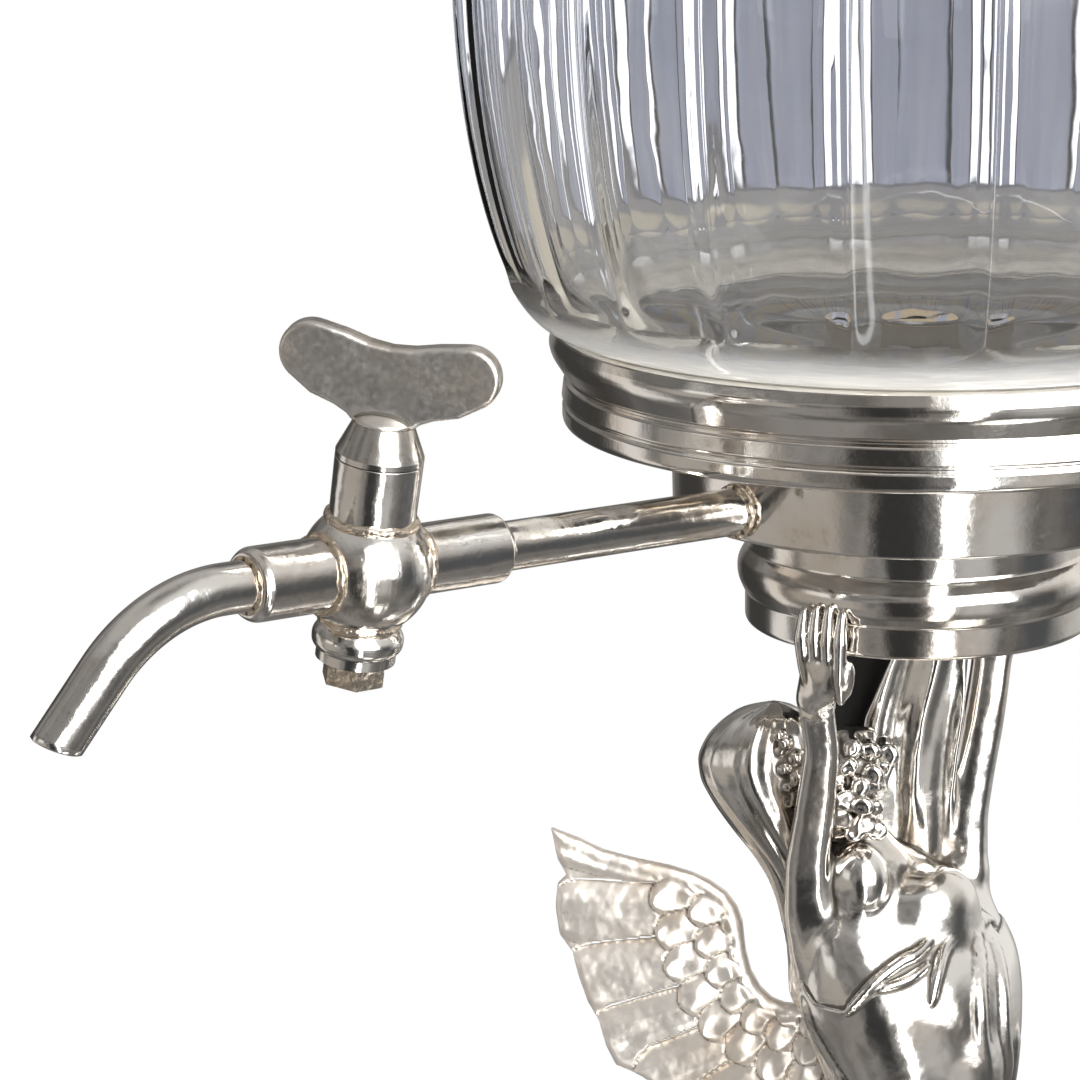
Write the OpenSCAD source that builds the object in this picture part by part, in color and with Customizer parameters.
// Two-tap drinks fountain: a winged figure in a long gown carries a glass bowl of iced water.
// Water runs from the bowl through a hollow drain bolt into the drum and out to the taps.
// Frame: +Z up, origin at the bottom centre of the base, the figure faces -Y, the taps lie on X.

/* [Base] */
// Radius of the foot
base_r = 80; // [70:1:95]
// Height of the foot above its pad
base_h = 42.5; // [38:0.5:55]
// Wall of the foot shell
base_wall = 1.6; // [1.2:0.1:2.5]
// Thickness of the felt pad
pad_t = 1.5; // [1:0.5:3]
// Clear space between the cast-iron ballast and the foot's side
ballast_gap = 2.3; // [0.5:0.1:20]
// Thickness of the ballast
ballast_t = 10; // [9:1:14]
// Radius of the base bolt's shank
base_bolt_r = 4; // [3:0.5:5]
// Radius of the base bolt's washer
base_washer_r = 10; // [9:0.5:14]
// Thickness of the base bolt's washer
base_washer_t = 1.5; // [1:0.5:2]
// Thread length of the base bolt in the figure
base_bolt_grip = 14; // [8:1:24]

/* [Figure] */
// Radius of the figure's plinth
plinth_r = 33; // [33:1:38]
// Height of the plinth
plinth_h = 6; // [4:0.5:10]
// Height of the gown from the plinth to the shoulders
body_h = 136; // [120:1:150]
// Half width of the gown at the hips
hip_w = 21; // [18:0.5:22]
// Height from the shoulders to the flange
reach_h = 62.4; // [60:0.1:75]
// Radius of each arm at the shoulder
arm_r = 5; // [4.4:0.1:5.4]
// Height of the head with its hair
head_h = 26; // [24:0.5:28]
// Thickness of a wing
wing_t = 3.4; // [2.4:0.2:5]

/* [Flange and drum] */
// Radius of the flange where the figure holds it
flange_r = 34.9; // [34.5:0.1:36]
// Radius of the flange's bead at its fullest
bead_r = 36.3; // [36:0.1:38]
// Height of the flange
flange_h = 23.6; // [21:0.2:28]
// Radius of the flange's bore
flange_bore_r = 24; // [16:0.5:28]
// Radius of the drum
drum_r = 49.6; // [47:0.2:56]
// Height of the drum
drum_h = 17; // [15:0.5:24]
// Wall of the drum
drum_wall = 2; // [1.5:0.25:3]
// Floor of the drum
drum_floor = 2.6; // [2:0.2:4]
// Number of screws that hold the drum on the flange
flange_screws = 4; // [3:1:6]
// Radius of each flange screw's shank
flange_screw_r = 2; // [1.5:0.25:2.5]
// Thickness of the rubber ring between the drum and the cup
drum_seal_t = 0.6; // [0.4:0.1:1.5]

/* [Cup] */
// Radius of the cup's side
cup_r = 71.4; // [70.5:0.1:74]
// Height of the cup
cup_h = 19.6; // [18:0.1:26]
// Thickness of the cup's floor
cup_floor = 2.2; // [1.6:0.2:3]
// How far the cup's rim stands out from its side
rim_out = 2.5; // [1.5:0.1:4]
// Thickness of the rubber disc under the glass
disc_t = 2; // [1:0.5:3]
// Depth of the cup's boss in the drum
boss_h = 5; // [3:0.5:6]

/* [Glass] */
// Radius of the glass at its widest
glass_r = 93.6; // [88:0.2:100]
// Height of the glass bowl
glass_h = 148.5; // [120:0.5:165]
// Wall of the glass
glass_wall = 4.5; // [3:0.5:6]
// Thickness of the glass at the bottom
glass_floor = 11; // [8:1:14]
// Inner radius of the bowl's mouth
mouth_r = 66; // [60:1:69]
// Radius of the drain hole in the glass
drain_hole_r = 8; // [8:0.5:10]

/* [Drain] */
// Radius of the drain bolt's shank
drain_r = 7; // [6.5:0.25:7.5]
// Radius of the drain bolt's bore
drain_bore_r = 4; // [3:0.25:5]
// Radius of the drain bolt's flange
drain_head_r = 13; // [12:0.5:16]
// Thickness of the drain washers
drain_washer_t = 1.6; // [1:0.2:2.5]
// Height of the clamp nut
clamp_nut_h = 4; // [3:0.5:5]

/* [Lid] */
// How far the lid overlaps the mouth
lid_brim = 7; // [6:0.5:9]
// Height of the lid's dome
dome_h = 21; // [16:1:30]
// Thickness of the lid's metal
lid_wall = 1.4; // [1:0.1:2]
// Depth of the lid's skirt
skirt_h = 8; // [5:0.5:12]
// Radius of the knob
knob_r = 9; // [8:0.5:12]
// Height of the knob
knob_h = 24; // [20:1:30]

/* [Taps] */
// Distance from the axis to the ball of a tap
ball_at = 139.2; // [132:0.2:150]
// Radius of the ball
ball_r = 12; // [11.4:0.1:12.6]
// Angle by which a tap rises outwards
tap_rise = 2.5; // [0:0.5:4]
// Angle by which a tap is turned about its pipe
tap_turn = 9.7; // [0:0.1:12]
// Height of the pipe over the bottom of the drum
pipe_up = 6.1; // [5.8:0.1:8]
// Outer radius of the pipe
pipe_r = 4.6; // [4.4:0.1:4.8]
// Inner radius of the pipe and the spout
bore_r = 3.2; // [2.6:0.1:3.4]
// Radius of the barrel above the ball
barrel_r = 7.9; // [7.6:0.1:8.4]
// Height of the barrel's rim over the ball's centre
barrel_h = 20.5; // [19:0.5:24]
// Radius of the inlet sleeve
inlet_r = 6.45; // [6.2:0.05:7]
// Length of the inlet sleeve from the ball's centre
inlet_l = 30.1; // [26:0.1:34]
// Radius of the outlet sleeve
outlet_r = 6.7; // [6.2:0.1:7.2]
// Length of the outlet sleeve from the ball's centre
outlet_l = 26.3; // [24:0.1:29]
// Radius of the port through the key
port_r = 2.2; // [1.8:0.1:2.3]
// Radius of the key's taper at its foot
key_foot_r = 4.6; // [4.2:0.1:4.8]
// Radius of the key's taper at its top
key_top_r = 6; // [5.6:0.1:6.2]
// Half width of the handle
handle_w = 19.8; // [17:0.2:24]
// Height of the handle
handle_h = 17.5; // [15:0.5:20]
// Thickness of the handle
handle_t = 4.2; // [3.6:0.2:5]
// Turn of the handle from the pipe's line
handle_turn = 130.6; // [95:0.2:175]
// Bend radius of the spout
spout_bend = 28; // [24:1:32]
// Angle of the spout's bend
spout_angle = 55.5; // [45:0.5:65]
// Length of the spout past its bend
spout_tail = 14.6; // [10:0.2:18]

/* [Fits] */
// Radial clearance of the key in its barrel
key_gap = 0.04; // [0.02:0.01:0.08]
// Radial clearance of pieces that are soldered or screwed together
fit_gap = 0.05; // [0.03:0.01:0.1]
// Clearance between pieces that stay apart
air_gap = 0.3; // [0.2:0.1:0.5]

/* [Hidden] */
$fn = 96;
silver = "silver";
iron = "dimgray";
rubber = [0.12, 0.12, 0.12];
glass = [0.8, 0.88, 0.9, 0.35];

// Heights of the stack, from the table up
base_z = pad_t + base_h;
plinth_z = base_z + plinth_h;
shoulder_z = plinth_z + body_h;
flange_z = shoulder_z + reach_h;
drum_z = flange_z + flange_h;
cup_z = drum_z + drum_h + drum_seal_t;
disc_z = cup_z + cup_floor;
glass_z = disc_z + disc_t;
mouth_z = glass_z + glass_h;

// The figure leans a little to her right and back, so these places are set by hand
body_xy = [-2.8, 3.4];
head_xy = [-12.6, 8.4];
right_hand_turn = 195;
left_hand_turn = 5;
left_hand_at = 31;
wing_spread = 45.5;

// Arc of points about [cx, cy] from angle a0 to a1, for round stretches of an outline
function arc(cx, cy, r, a0, a1, n = 8) =
    [for (i = [0:n]) let (a = a0 + (a1 - a0) * i / n) [cx + r * cos(a), cy + r * sin(a)]];

// Horizontal ring of n points about [cx, cy] with half widths a and b and k folds of depth w
function ring(cx, cy, z, a, b, n = 32, turn = 0, w = 0, k = 0) =
    [for (i = [0:n - 1]) let (t = 360 * i / n, s = 1 + w * cos(k * t))
        [cx + s * (a * cos(t) * cos(turn) - b * sin(t) * sin(turn)),
         cy + s * (a * cos(t) * sin(turn) + b * sin(t) * cos(turn)), z]];

// Straight mix of two values, lists or points
function mix(a, b, t) = a + (b - a) * t;

// Row of a table at height t by straight steps between its rows, whose first column is the height
function row_at(table, t) =
    let (k = max([for (i = [0:len(table) - 2]) if (table[i][0] <= t) i]),
         f = (t - table[k][0]) / (table[k + 1][0] - table[k][0]))
    mix(table[k], table[k + 1], f);

// Closed skin through a list of rings that all have the same number of points
module loft(rings) {
    n = len(rings[0]);
    m = len(rings);
    side = [for (j = [0:m - 2], i = [0:n - 1]) let (a = j * n + i, b = j * n + (i + 1) % n)
        each [[a, a + n, b], [b, a + n, b + n]]];
    low = [for (i = [1:n - 2]) [0, i, i + 1]];
    top = [for (i = [1:n - 2]) [(m - 1) * n, (m - 1) * n + i + 1, (m - 1) * n + i]];
    polyhedron(points = [for (r = rings, p = r) p], faces = concat(side, low, top));
}

// Rod along +X between two places
module rod_x(x0, x1, r) {
    translate([x0, 0, 0]) rotate([0, 90, 0]) cylinder(h = x1 - x0, r = r);
}

// Foot of the fountain

// Outer side of the foot as radius and height over the pad
function base_outline() = concat(
    [[base_r - 1.5, 0]],
    arc(base_r - 2.5, 2.5, 2.5, -35, 90, 6),
    arc(base_r - 5, 7.2, 2.2, -90, 60, 6),
    arc(base_r - 4, 21, 12, 250, 183, 8),
    arc(base_r - 17.5, 23, 2.2, -80, 80, 6),
    arc(base_r - 16, base_h - 2, base_h - 27, 262, 183, 10),
    arc(plinth_r + 4, base_h - 2, 2, -90, 90, 8));

// Radius and height of the curve by which the foot's hollow narrows
hollow_curve = 12;
hollow_curve_at = 22;

// Radius of the foot's hollow at height h on that curve
function hollow_r(h) =
    base_r - 5 - base_wall - sqrt(pow(hollow_curve, 2) - pow(hollow_curve_at - h, 2));

// Inner side of the foot: the same outline, one wall further in and closed under the top
function base_hollow() = concat(
    [[base_r - 1.5 - base_wall, -1]],
    [[base_r - 4.5 - base_wall, 6]],
    arc(base_r - 5 - base_wall, hollow_curve_at, hollow_curve, 245, 190, 6),
    arc(base_r - 17.5 - base_wall, base_h - 2, base_h - 26, 258, 200, 6),
    [[plinth_r, base_h - 3 - base_wall], [0, base_h - 3 - base_wall], [0, -1]]);

module base_pad() {
    color(rubber) cylinder(h = pad_t, r = base_r - 1.5);
}

ballast_r = hollow_r(max(ballast_t, hollow_curve_at - 0.9 * hollow_curve)) - ballast_gap;
module ballast() {
    color(iron) translate([0, 0, pad_t]) difference() {
        cylinder(h = ballast_t, r = ballast_r);
        translate([0, 0, -1]) cylinder(h = ballast_t + 2, r = base_bolt_r + air_gap);
        translate([0, 0, -1]) cylinder(h = ballast_t - 2, r = base_washer_r + air_gap);
    }
}

module base() {
    color(silver) translate([0, 0, pad_t]) difference() {
        union() {
            difference() {
                rotate_extrude($fn = 128) polygon(concat(base_outline(), [[0, base_h], [0, 0]]));
                rotate_extrude($fn = 128) polygon(base_hollow());
            }
            // Post under the top that stands on the ballast
            translate([0, 0, ballast_t]) cylinder(h = base_h - ballast_t - 1, r = base_bolt_r + 6);
        }
        translate([0, 0, ballast_t - 1]) cylinder(h = base_h, r = base_bolt_r + air_gap);
    }
}

module base_washer() {
    color(silver) translate([0, 0, pad_t + ballast_t - 3 - base_washer_t]) difference() {
        cylinder(h = base_washer_t, r = base_washer_r);
        translate([0, 0, -1]) cylinder(h = base_washer_t + 2, r = base_bolt_r + fit_gap);
    }
}

bolt_head_h = 5;
module base_bolt() {
    color(iron) translate([0, 0, pad_t + ballast_t - 3 - base_washer_t]) {
        translate([0, 0, -bolt_head_h]) cylinder(h = bolt_head_h, r = base_bolt_r * 1.8, $fn = 6);
        cylinder(h = base_h - ballast_t + 3 + base_washer_t + base_bolt_grip, r = base_bolt_r);
    }
}

// Figure

// Gown by share of its height: centre x and y, half width, half depth, depth of the folds
gown_rows = [
    [0.00, 0.0, 3.0, 1.38, 1.28, 0.050],
    [0.06, 0.0, 3.0, 1.30, 1.20, 0.050],
    [0.18, -0.2, 2.6, 1.14, 1.02, 0.045],
    [0.36, -0.2, 1.6, 1.00, 0.90, 0.030],
    [0.50, -0.2, 0.4, 0.98, 0.86, 0.020],
    [0.62, 0.0, -1.2, 0.86, 0.76, 0.012],
    [0.70, 0.0, -3.4, 0.86, 0.76, 0.006],
    [0.80, -0.8, -2.2, 1.06, 0.92, 0.004],
    [0.88, -1.8, 0.0, 1.22, 1.00, 0.002],
    [0.94, -2.0, 0.4, 1.22, 0.92, 0.000],
    [1.00, -2.6, 2.2, 1.12, 0.60, 0.000]];
gown_steps = 20;
gown_folds = 11;

module gown_form() {
    loft([for (j = [0:gown_steps]) let (t = j / gown_steps, g = row_at(gown_rows, t))
        ring(g[1], g[2], plinth_z + t * body_h, g[3] * hip_w, g[4] * hip_w, 44, 0, g[5], gown_folds)]);
}

module gown() {
    color(silver) difference() {
        union() {
            gown_form();
            translate([0, 0, base_z]) cylinder(h = plinth_h + 0.01, r = plinth_r);
        }
        translate([0, 0, base_z - 1]) cylinder(h = base_bolt_grip + 2, r = base_bolt_r + fit_gap);
    }
}

// Head by share of its height: shift towards the back, half width, half depth
head_rows = [
    [0.00, 0.0, 12.4, 9.6],
    [0.06, 0.2, 7.6, 7.2],
    [0.14, 0.4, 4.9, 5.4],
    [0.30, 0.2, 4.8, 5.6],
    [0.42, 0.0, 5.8, 7.4],
    [0.56, 0.0, 7.6, 9.2],
    [0.74, 0.0, 8.6, 10.4],
    [0.88, 0.4, 7.4, 9.2],
    [0.96, 0.6, 4.6, 6.2],
    [1.00, 0.8, 1.6, 2.2]];
neck_h = 15;
head_turn = 35;

// Centre of the neck and head at height t, from the shoulders to the head's own place
function head_at(t) = mix(body_xy, head_xy, min(1, t / 0.5));

module head_form() {
    loft([for (j = [0:16]) let (t = j / 16, g = row_at(head_rows, t), c = head_at(t))
        ring(c[0] - g[1] * sin(head_turn), c[1] + g[1] * cos(head_turn),
            shoulder_z + t * (neck_h + head_h), g[2], g[3], 28, head_turn)]);
}

module head() {
    color(silver) head_form();
}

// Hair that swells out behind the head and falls down her back: height over the shoulders,
// distance of its middle along the side that the wing spreads to, half width, half depth
hair_rows = [
    [0.00, 23.0, 2.4, 2.0],
    [0.10, 23.2, 3.4, 2.8],
    [0.25, 24.0, 4.6, 3.4],
    [0.34, 24.8, 5.6, 4.6],
    [0.43, 26.4, 7.0, 6.0],
    [0.52, 28.4, 9.0, 7.6],
    [0.61, 30.0, 11.0, 9.0],
    [0.70, 31.4, 12.4, 10.0],
    [0.79, 31.9, 12.6, 10.2],
    [0.87, 31.2, 11.2, 9.4],
    [0.94, 30.2, 8.2, 7.4],
    [0.98, 29.4, 5.2, 4.8],
    [1.00, 29.0, 2.0, 2.0]];
hair_low = 12;
hair_top = 44;

module hair() {
    far = [-sin(wing_spread), cos(wing_spread)];
    color(silver) difference() {
        loft([for (j = [0:20]) let (t = j / 20, g = row_at(hair_rows, t))
            ring(far[0] * g[1], far[1] * g[1], shoulder_z - hair_low + t * (hair_low + hair_top),
                g[2], g[3], 28, 90 + wing_spread)]);
        head_form();
        gown_form();
    }
}

// Fold of the veil that rises behind the head and carries the flange: share of its height,
// middle along the shoulders' slant, half width, half depth
veil_rows = [
    [0.00, -4.0, 4.0, 2.2],
    [0.25, -4.8, 5.8, 2.2],
    [0.37, -4.0, 8.0, 2.2],
    [0.50, -2.6, 9.2, 2.2],
    [0.62, -1.5, 9.4, 2.2],
    [0.86, 3.2, 6.8, 2.6],
    [1.00, 5.0, 6.4, 3.2]];
veil_back = 9.4;

module veil() {
    along = [cos(wing_spread), -sin(wing_spread)];
    across = [sin(wing_spread), cos(wing_spread)];
    color(silver) difference() {
        loft([for (j = [0:14]) let (t = j / 14, g = row_at(veil_rows, t))
            ring(along[0] * g[1] + across[0] * veil_back, along[1] * g[1] + across[1] * veil_back,
                shoulder_z + t * reach_h, g[2], g[3], 24, -wing_spread, 0.04, 5)]);
        head_form();
    }
}

// Each arm by share of its height from the shoulder to the wrist: middle x and y, share of the
// arm's radius
right_arm_rows = [
    [0.00, -21.6, 8.4, 1.08],
    [0.08, -22.6, 8.2, 1.04],
    [0.27, -24.4, 6.3, 0.94],
    [0.50, -26.2, 2.4, 0.84],
    [0.74, -28.1, -1.4, 0.70],
    [0.92, -31.6, -3.4, 0.78],
    [1.00, -33.4, -5.2, 0.88]];
left_arm_rows = [
    [0.00, 15.2, 1.6, 1.04],
    [0.10, 15.8, 1.2, 0.94],
    [0.30, 16.6, 1.7, 0.88],
    [0.46, 18.4, 1.9, 0.90],
    [0.65, 20.8, 1.6, 0.90],
    [0.80, 22.4, 1.5, 0.86],
    [0.90, 23.5, 1.7, 0.84],
    [1.00, 24.4, 1.9, 0.90]];
palm_h = 8;
palm_w = 6.2;

// Arm and palm in one skin, with the palm's top under the flange, and four fingers outside the
// flange's side; the palm's middle is at hand_at from the axis and its half length is palm_l
module arm(rows, turn, hand_at, palm_l) {
    wrist = row_at(rows, 1);
    palm = [hand_at * cos(turn), hand_at * sin(turn)];
    loft(concat(
        [for (j = [0:14]) let (t = j / 14, g = row_at(rows, t))
            ring(g[1], g[2], shoulder_z + t * (reach_h - palm_h), g[3] * arm_r, g[3] * arm_r, 20, turn)],
        [for (j = [1:4]) let (t = j / 4, c = mix([wrist[1], wrist[2]], palm, t), r = wrist[3] * arm_r)
            ring(c[0], c[1], flange_z - palm_h + t * palm_h, mix(r, palm_l, t), mix(r, palm_w, t),
                20, turn)]));
    rotate([0, 0, turn]) fingers();
}

// Finger by share of its height: share of its radius
finger_rows = [[0, 0.6], [0.12, 1], [0.8, 0.94], [0.93, 0.72], [1, 0.3]];
finger_r = 1.5;
finger_h = 13.5;
finger_low = 3;
finger_pitch = 3;
// Distance from the axis to the middle of a finger, clear of the flange's bead
finger_at = flange_r + finger_r + 0.9;
module fingers() {
    for (k = [-1.5:1:1.5])
        loft([for (j = [0:7]) let (t = j / 7, r = row_at(finger_rows, t)[1] * finger_r)
            ring(finger_at, k * finger_pitch, flange_z - finger_low + t * (finger_h - abs(k)),
                r, r, 10)]);
}

module right_arm() {
    color(silver) arm(right_arm_rows, right_hand_turn, flange_r + 1.4, 3.4);
}

module left_arm() {
    color(silver) arm(left_arm_rows, left_hand_turn, left_hand_at, finger_at + 2 - left_hand_at);
}

// Wing seen square to its face: distance from the axis and height over the shoulders
wing_points = concat(
    [[10.5, -62], [20, -60], [32, -55], [43, -49.5], [50, -45.6], [57.5, -40.6], [62.6, -38.4]],
    [[64.6, -34.2], [66, -29], [68.4, -24.4], [70.2, -19], [71.6, -13.4], [74.2, -9.6], [75, -3.5]],
    [[74.6, 1.4], [72.6, 3.4], [74.4, 7], [75.9, 13.8], [69.7, 11.4], [64.7, 9], [58, 7.3]],
    [[51, 5.9], [46.3, 4.5], [42.6, 2.8], [39.2, 0.4], [37, -2.6], [35.8, -6], [35.2, -12]],
    [[34, -16.8], [32, -20.4], [29.6, -22.8], [26.8, -23.9], [20, -24.4], [10.5, -23]]);

module wing_form() {
    translate([0, wing_t / 2, shoulder_z]) rotate([90, 0, 0])
        linear_extrude(height = wing_t) polygon(wing_points);
}

// Wing at her back, cut to the gown; the side is -1 for her right and 1 for her left
wing_behind = 8;
module wing(side) {
    difference() {
        mirror([side < 0 ? 1 : 0, 0, 0]) rotate([0, 0, wing_spread])
            translate([0, wing_behind, 0]) wing_form();
        gown_form();
    }
}

module right_wing() {
    color(silver) wing(-1);
}

module left_wing() {
    color(silver) wing(1);
}

// Flange and drum

// Height over the flange's bottom at which the bead is fullest, and the radius of its curve
bead_at = 10.9;
bead_curve = 6;
// Height of the plain band under the bead, and radius of the neck over it
band_h = 6.2;
neck_in = 34.3;
flange_outline = concat(
    arc(flange_r - 1.2, 1.2, 1.2, -90, 0, 5),
    [[flange_r, band_h], [flange_r + 0.2, band_h + 0.4]],
    arc(bead_r - bead_curve, bead_at, bead_curve, -32, 38, 9),
    [[neck_in, flange_h - 7.8], [neck_in, flange_h]]);

// Flange screws: distance from the axis, height of the head, and thread in the flange
screw_at = flange_bore_r + 5;
screw_head_h = 2;
screw_grip = 8;
module flange() {
    color(silver) translate([0, 0, flange_z]) difference() {
        rotate_extrude() polygon(concat([[0, 0]], flange_outline, [[0, flange_h]]));
        translate([0, 0, 4]) cylinder(h = flange_h, r = flange_bore_r);
        screw_circle() translate([0, 0, flange_h - screw_grip - 1])
            cylinder(h = screw_grip + 2, r = flange_screw_r + fit_gap, $fn = 32);
    }
}

module screw_circle() {
    for (i = [0:flange_screws - 1]) rotate([0, 0, 45 + 360 * i / flange_screws])
        translate([screw_at, 0, 0]) children();
}

module flange_screws() {
    color(silver) translate([0, 0, drum_z]) screw_circle() {
        translate([0, 0, drum_floor]) cylinder(h = screw_head_h, r = flange_screw_r * 2, $fn = 32);
        translate([0, 0, -screw_grip])
            cylinder(h = screw_grip + drum_floor + 0.01, r = flange_screw_r, $fn = 32);
    }
}

module drum() {
    color(silver) difference() {
        translate([0, 0, drum_z]) rotate_extrude() polygon(concat(
            [[0, 0]], arc(drum_r - 1.2, 0.8, 0.8, -90, 0, 4), [[drum_r, drum_h], [0, drum_h]]));
        translate([0, 0, drum_z + drum_floor]) cylinder(h = drum_h, r = drum_r - drum_wall);
        translate([0, 0, drum_z - 1]) screw_circle()
            cylinder(h = drum_floor + 2, r = flange_screw_r + fit_gap, $fn = 32);
        for (side = ["left", "right"]) on_side(side)
            rod_x(drum_r - ball_at - 12, drum_r - ball_at + 12, pipe_r + fit_gap);
    }
}

module drum_seal() {
    color(rubber) translate([0, 0, drum_z + drum_h]) difference() {
        cylinder(h = drum_seal_t, r = drum_r - 0.2);
        translate([0, 0, -1]) cylinder(h = drum_seal_t + 2, r = drum_r - drum_wall);
    }
}

// Cup that holds the glass

// Height over the cup's bottom at which each groove runs
groove_low = 4.5;
groove_high = 9.5;
groove_r = 0.7;
cup_outline = concat(
    arc(cup_r - 3, 3, 3, -90, 0, 8),
    [[cup_r, groove_low - groove_r]],
    arc(cup_r + 0.2, groove_low, groove_r, 260, 100, 5),
    [[cup_r, groove_low + groove_r], [cup_r, groove_high - groove_r - 0.8]],
    arc(cup_r - 0.6, groove_high, groove_r, 260, 100, 5),
    [[cup_r, 10.7], [cup_r + rim_out * 0.44, 12.3], [cup_r + rim_out * 0.76, 14]],
    arc(cup_r + rim_out - 1.6, cup_h - 3, 1.6, -20, 90, 7));

cup_bore_r = cup_r - 2.1;
glass_waist_r = cup_bore_r - air_gap;
module cup() {
    color(silver) translate([0, 0, cup_z]) difference() {
        union() {
            rotate_extrude($fn = 128)
                polygon(concat([[0, 0]], cup_outline, [[cup_bore_r + 2, cup_h], [0, cup_h]]));
            translate([0, 0, -boss_h])
                cylinder(h = boss_h + 0.01, r = drum_r - drum_wall - fit_gap);
        }
        translate([0, 0, cup_floor]) cylinder(h = cup_h, r = cup_bore_r);
        translate([0, 0, cup_h - 4.2]) cylinder(h = 4.3, r1 = cup_bore_r, r2 = cup_bore_r + 3.2);
        translate([0, 0, -boss_h - 1]) cylinder(h = boss_h + 1, r = drum_r - drum_wall - 5);
        translate([0, 0, -1]) cylinder(h = cup_floor + 2, r = drain_r + fit_gap);
    }
}

module glass_disc() {
    color(rubber) translate([0, 0, disc_z]) difference() {
        cylinder(h = disc_t, r = glass_waist_r - 3);
        translate([0, 0, -1]) cylinder(h = disc_t + 2, r = drain_r + air_gap);
    }
}

// Glass bowl

// Height over the glass's bottom where it leaves the cup, where it is widest and where it narrows
waist_at = cup_h - cup_floor - disc_t + 0.2;
belly_at = glass_h * 0.6;
neck_at = glass_h - 6;
waist_out = 3;
waist_r = cup_bore_r + waist_out;
neck_r = mouth_r + glass_wall + 1.4;

// Radius of the bowl's outside at height h over its bottom
function glass_out(h) = h < belly_at
    ? let (t = (h - waist_at) / (belly_at - waist_at))
        waist_r + (glass_r - waist_r) * pow(1 - pow(1 - t, 2), 0.54)
    : let (t = (h - belly_at) / (neck_at - belly_at))
        neck_r + (glass_r - neck_r) * sqrt(max(0, 1 - pow(t, 2.4)));

glass_steps = 14;
function belly_points(inset, from, to) = [for (i = [0:glass_steps])
    let (t = i / glass_steps, h = from + (to - from) * (1 - cos(180 * t)) / 2)
    [glass_out(min(max(h, waist_at), neck_at)) - inset, h]];

module glass_bowl() {
    outside = concat(
        [[0, 0], [glass_waist_r - 2.5, 0], [glass_waist_r, 2.5], [glass_waist_r, waist_at - 4.4]],
        belly_points(0, waist_at, neck_at),
        arc(neck_r - 1.2, glass_h - 2, 2, 0, 90, 5),
        [[0, glass_h]]);
    inside = concat(
        [[0, glass_floor], [glass_waist_r - 16, glass_floor]],
        arc(glass_waist_r - 16, glass_floor + 10, 10, -80, -20, 5),
        belly_points(glass_wall, waist_at + 9, neck_at - 1),
        [[mouth_r, neck_at], [mouth_r, glass_h + 1], [0, glass_h + 1]]);
    color(glass) translate([0, 0, glass_z]) difference() {
        rotate_extrude($fn = 128) polygon(outside);
        rotate_extrude($fn = 128) polygon(inside);
        translate([0, 0, -1]) cylinder(h = glass_floor + 2, r = drain_hole_r);
    }
}

// Drain bolt that clamps the glass and lets the water down into the drum

floor_z = glass_z + glass_floor;
module drain_washer() {
    color(rubber) translate([0, 0, floor_z]) difference() {
        cylinder(h = drain_washer_t, r = drain_head_r - 0.5);
        translate([0, 0, -1]) cylinder(h = drain_washer_t + 2, r = drain_r + air_gap);
    }
}

drain_head_h = 3;
drain_low = cup_z - drain_washer_t - clamp_nut_h - 0.8;
module drain_bolt() {
    head_z = floor_z + drain_washer_t;
    color(silver) difference() {
        union() {
            translate([0, 0, head_z]) cylinder(h = drain_head_h, r = drain_head_r);
            translate([0, 0, drain_low]) cylinder(h = head_z - drain_low + 0.01, r = drain_r);
        }
        translate([0, 0, drain_low - 1]) cylinder(h = 60, r = drain_bore_r);
        // Slot for the key that tightens it
        translate([-drain_head_r, -1.5, head_z + drain_head_h - 1.2])
            cube([2 * drain_head_r, 3, 3]);
    }
}

module clamp_washer() {
    color(rubber) translate([0, 0, cup_z - drain_washer_t]) difference() {
        cylinder(h = drain_washer_t, r = drain_r + 6);
        translate([0, 0, -1]) cylinder(h = drain_washer_t + 2, r = drain_r + air_gap);
    }
}

module clamp_nut() {
    color(silver) translate([0, 0, cup_z - drain_washer_t - clamp_nut_h]) difference() {
        cylinder(h = clamp_nut_h, r = drain_r + 5.5, $fn = 6);
        translate([0, 0, -1]) cylinder(h = clamp_nut_h + 2, r = drain_r + fit_gap);
    }
}

// Lid

lid_r = mouth_r + lid_brim;
dome_r = (pow(mouth_r - 3, 2) + dome_h * dome_h) / (2 * dome_h);
dome_half = asin((mouth_r - 3) / dome_r);
knob_z = mouth_z + 2.4 + dome_h;
module lid() {
    color(silver) translate([0, 0, mouth_z]) difference() {
        union() {
            rotate_extrude($fn = 128) polygon(concat(
                [[0, 0]], arc(lid_r - 1.2, 1.2, 1.2, -90, 90, 6), [[mouth_r - 3, 2.4]],
                arc(0, 2.4 + dome_h - dome_r, dome_r, 90 - dome_half, 90, 12)));
            translate([0, 0, -skirt_h]) cylinder(h = skirt_h + 0.01, r = mouth_r - air_gap);
        }
        translate([0, 0, -skirt_h - 1])
            cylinder(h = skirt_h + 1.01, r = mouth_r - air_gap - lid_wall);
        rotate_extrude($fn = 128) polygon(concat(
            [[0, 0], [mouth_r - air_gap - lid_wall, 0]],
            arc(0, 2.4 + dome_h - dome_r, dome_r - lid_wall, 90 - dome_half + 1, 90, 12)));
        cylinder(h = 60, r = 1.6 + fit_gap, $fn = 32);
    }
}

module lid_knob() {
    neck = knob_r * 0.4;
    color(silver) translate([0, 0, knob_z]) difference() {
        rotate_extrude() polygon(concat(
            [[0, 0]], arc(knob_r * 0.75, 1.2, 1.2, -90, 90, 5),
            arc(knob_r * 0.75, 2.4 + knob_r * 0.35, knob_r * 0.35, 270, 180, 6),
            [[neck, knob_h - knob_r * 1.75]],
            arc(0, knob_h - knob_r, knob_r, -62, 90, 18)));
        translate([0, 0, -1]) cylinder(h = 9, r = 1.6 + fit_gap, $fn = 32);
    }
}

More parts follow.
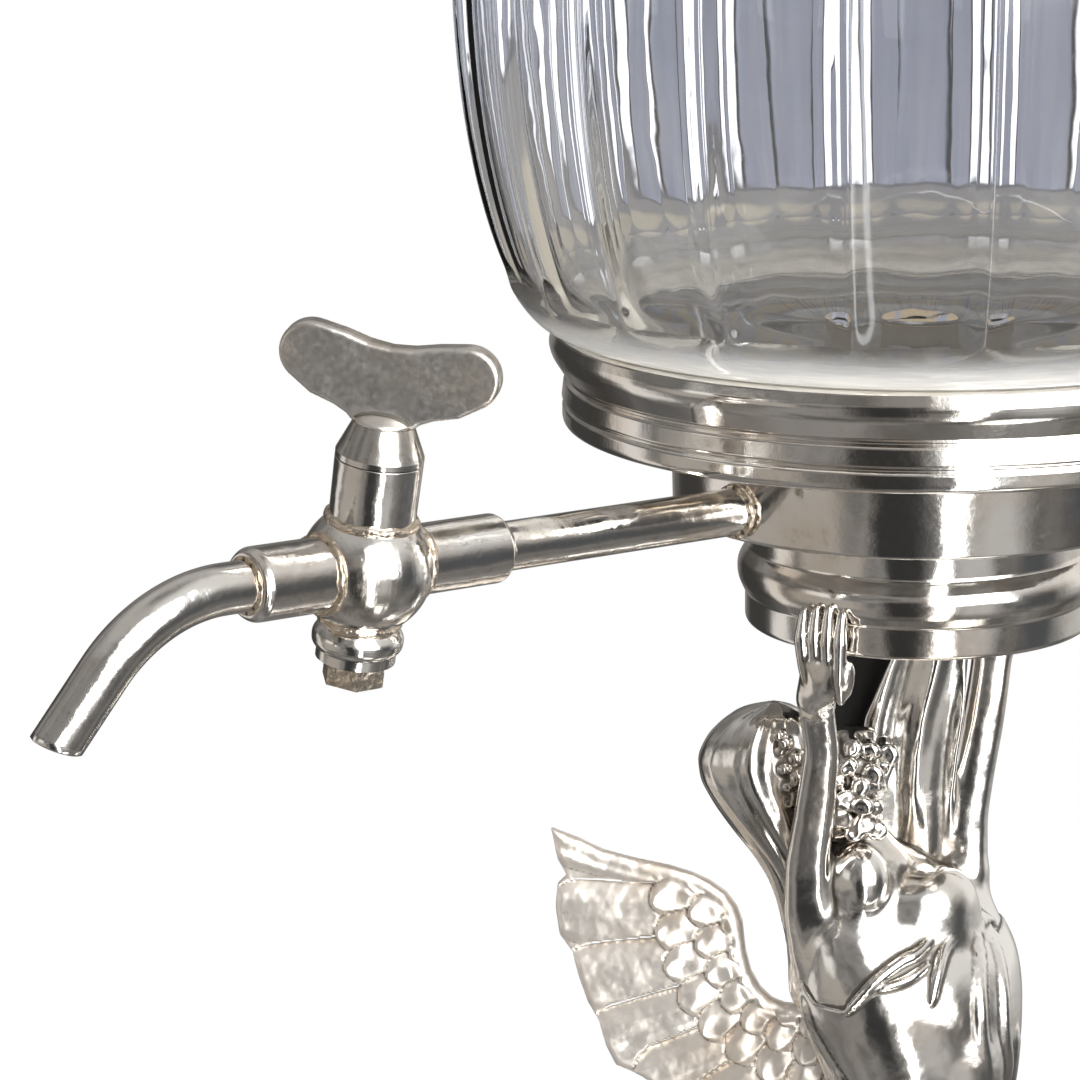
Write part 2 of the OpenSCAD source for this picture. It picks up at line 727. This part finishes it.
module lid_screw() {
    under = knob_z - lid_wall - 0.4;
    color(silver) difference() {
        union() {
            translate([0, 0, under - 1.8]) cylinder(h = 1.8, r = 3.4, $fn = 32);
            translate([0, 0, under - 0.01]) cylinder(h = lid_wall + 7, r = 1.6, $fn = 32);
        }
    }
}

// Taps, each drawn about its ball with the spout along +X and the key along +Z

// Moves a tap's own frame to its place on the +X side
module tap_place() {
    translate([drum_r, 0, drum_z + pipe_up]) rotate([0, -tap_rise, 0]) rotate([-tap_turn, 0, 0])
        translate([ball_at - drum_r, 0, 0]) children();
}

// The tap on her right lies on -X, and the same tap turned half round lies on +X
module on_side(side) {
    rotate([0, 0, side == "left" ? 180 : 0]) tap_place() children();
}

solder_depth = 11;
pipe_in = 5;
module pipe() {
    start = drum_r - ball_at - pipe_in;
    color(silver) difference() {
        union() {
            rod_x(start, solder_depth - inlet_l, pipe_r);
            // Ring of solder where the pipe leaves the drum
            rod_x(start + pipe_in + air_gap, start + pipe_in + air_gap + 1, pipe_r + 0.8);
        }
        rod_x(start - 1, solder_depth - inlet_l + 1, bore_r);
    }
}

collar_top = -11.2;
collar_low = -15.4;
collar_r = 8.1;
module tap_body() {
    sleeve_out = outlet_l - solder_depth;
    sleeve_in = inlet_l - solder_depth;
    color(silver) difference() {
        union() {
            sphere(r = ball_r);
            cylinder(h = barrel_h, r = barrel_r);
            translate([0, 0, collar_low]) cylinder(h = -collar_low, r = collar_r - 0.9);
            translate([0, 0, collar_low]) rotate_extrude() polygon(concat(
                [[0, 0]], arc(collar_r - 2.1, 2.1, 2.1, -70, 70, 8), [[0, collar_top - collar_low]]));
            translate([-inlet_l, 0, 0]) rotate([0, 90, 0]) {
                cylinder(h = 1.2, r1 = inlet_r - 1, r2 = inlet_r);
                translate([0, 0, 1.2]) cylinder(h = inlet_l - 1.2, r = inlet_r);
            }
            rotate([0, 90, 0]) {
                cylinder(h = outlet_l - 1, r = outlet_r);
                translate([0, 0, outlet_l - 1]) cylinder(h = 1, r1 = outlet_r, r2 = outlet_r - 0.8);
            }
        }
        tube_end(-inlet_l - 1, inlet_l - sleeve_in + 1);
        tube_end(sleeve_out, outlet_l - sleeve_out + 1);
        translate([-inlet_l, 0, 0]) rotate([0, 90, 0]) cylinder(h = inlet_l + outlet_l, r = port_r);
        translate([0, 0, collar_low]) cylinder(
            h = barrel_h - collar_low, r1 = key_foot_r, r2 = key_top_r);
        translate([0, 0, barrel_h - 0.01]) cylinder(h = 5, r = key_top_r);
        translate([0, 0, collar_low - 1]) cylinder(h = 1.01, r = key_foot_r);
    }
}

// Socket for a tube's end, from x over a length l
module tube_end(x, l) {
    translate([x, 0, 0]) rotate([0, 90, 0]) cylinder(h = l, r = pipe_r + fit_gap);
}

cap_h = 6.5;
tenon_h = 5;
stud_r = 2.4;
washer_t = 1.8;
nut_h = 4.4;
nut_floor = 0.8;
key_foot_z = collar_low + 0.6;
module key() {
    taper = (key_top_r - key_foot_r) / (barrel_h - collar_low);
    foot = key_foot_r + taper * (key_foot_z - collar_low) - key_gap;
    cap_z = barrel_h + 0.2;
    color(silver) rotate([0, 0, handle_turn]) difference() {
        union() {
            translate([0, 0, key_foot_z])
                cylinder(h = barrel_h - key_foot_z, r1 = foot, r2 = key_top_r - key_gap);
            translate([0, 0, barrel_h - 0.01]) cylinder(h = 0.22, r = key_top_r - key_gap);
            translate([0, 0, cap_z]) cylinder(h = 1, r = barrel_r);
            translate([0, 0, cap_z + 1]) cylinder(h = cap_h - 1, r1 = barrel_r, r2 = 5.5);
            translate([0, 0, cap_z + cap_h - 0.01]) cylinder(h = tenon_h, r = 1.6, $fn = 32);
            translate([0, 0, collar_low - washer_t]) translate([-stud_r, -stud_r, 0])
                cube([2 * stud_r, 2 * stud_r, key_foot_z - collar_low + washer_t + 0.01]);
            translate([0, 0, collar_low - washer_t - nut_h + nut_floor + 0.2])
                cylinder(h = nut_h, r = stud_r, $fn = 32);
        }
        translate([-20, 0, 0]) rotate([0, 90, 0]) cylinder(h = 40, r = port_r);
    }
}

// Outline of the handle: two lobes that rise from a short foot, with a shallow saddle between them
handle_z = barrel_h + 0.2 + cap_h;
lobe_r = 5.7;
function handle_half() = concat(
    [[5.6, 0], [6.6, 1], [9, 2.2], [handle_w - 6.4, 3.5]],
    arc(handle_w - lobe_r, handle_h - 1 - lobe_r, lobe_r, -50, 100, 12),
    [[handle_w * 0.42, handle_h - 1.9], [handle_w * 0.2, handle_h - 3]]);

module handle() {
    half = handle_half();
    n = len(half);
    color(silver) rotate([0, 0, handle_turn]) translate([0, handle_t / 2, handle_z])
        rotate([90, 0, 0]) difference() {
            linear_extrude(height = handle_t) polygon(concat(
                half, [[0, handle_h - 3.4]], [for (i = [n - 1:-1:0]) [-half[i][0], half[i][1]]]));
            translate([0, -1, handle_t / 2]) rotate([-90, 0, 0])
                cylinder(h = tenon_h + 1.2, r = 1.6 + fit_gap, $fn = 32);
        }
}

module washer() {
    color(silver) rotate([0, 0, handle_turn]) translate([0, 0, collar_low - washer_t]) difference() {
        cylinder(h = washer_t, r = collar_r - 0.9);
        translate([-stud_r - fit_gap, -stud_r - fit_gap, -1])
            cube([2 * (stud_r + fit_gap), 2 * (stud_r + fit_gap), washer_t + 2]);
    }
}

module nut() {
    color(silver) translate([0, 0, collar_low - washer_t - nut_h]) difference() {
        cylinder(h = nut_h, r = 5.9, $fn = 6);
        translate([0, 0, nut_floor]) cylinder(h = nut_h, r = stud_r + fit_gap, $fn = 32);
    }
}

bend_at = 31;
spout_slant = 16;
spout_lap = 0.4;
module spout() {
    color(silver) {
        translate([outlet_l - solder_depth, 0, 0]) rotate([0, 90, 0])
            linear_extrude(height = bend_at - outlet_l + solder_depth + spout_lap) spout_ring(0);
        // The bent stretch is a hair thinner than the straight ones that lap its ends
        translate([bend_at, 0, -spout_bend]) rotate([90, 0, 0]) rotate([0, 0, 90 - spout_angle])
            rotate_extrude(angle = spout_angle) translate([spout_bend, 0]) spout_ring(0.02);
        spout_tail_place() difference() {
            translate([-spout_lap, 0, 0]) rotate([0, 90, 0])
                linear_extrude(height = spout_lap + spout_tail + 6) spout_ring(0);
            // Slanted end, nearer to level than square
            translate([spout_tail, 0, 0]) rotate([0, spout_slant, 0])
                translate([0, -10, -15]) cube([30, 20, 30]);
        }
    }
}

// Wall of the spout seen along its middle, thinned by t on both sides
module spout_ring(t) {
    difference() {
        circle(r = pipe_r - t, $fn = 64);
        circle(r = bore_r + t, $fn = 64);
    }
}

// Frame at the end of the bend, with +X down the spout's last stretch
module spout_tail_place() {
    translate([bend_at + spout_bend * sin(spout_angle), 0, -spout_bend * (1 - cos(spout_angle))])
        rotate([0, spout_angle, 0]) children();
}

module left_pipe() { on_side("left") pipe(); }
module left_tap_body() { on_side("left") tap_body(); }
module left_key() { on_side("left") key(); }
module left_handle() { on_side("left") handle(); }
module left_washer() { on_side("left") washer(); }
module left_nut() { on_side("left") nut(); }
module left_spout() { on_side("left") spout(); }
module right_pipe() { on_side("right") pipe(); }
module right_tap_body() { on_side("right") tap_body(); }
module right_key() { on_side("right") key(); }
module right_handle() { on_side("right") handle(); }
module right_washer() { on_side("right") washer(); }
module right_nut() { on_side("right") nut(); }
module right_spout() { on_side("right") spout(); }

base_pad();
ballast();
base();
base_washer();
base_bolt();
gown();
head();
hair();
veil();
right_arm();
left_arm();
right_wing();
left_wing();
flange();
drum();
flange_screws();
drum_seal();
cup();
glass_disc();
glass_bowl();
drain_washer();
drain_bolt();
clamp_washer();
clamp_nut();
lid();
lid_knob();
lid_screw();
left_pipe();
left_tap_body();
left_key();
left_handle();
left_washer();
left_nut();
left_spout();
right_pipe();
right_tap_body();
right_key();
right_handle();
right_washer();
right_nut();
right_spout();
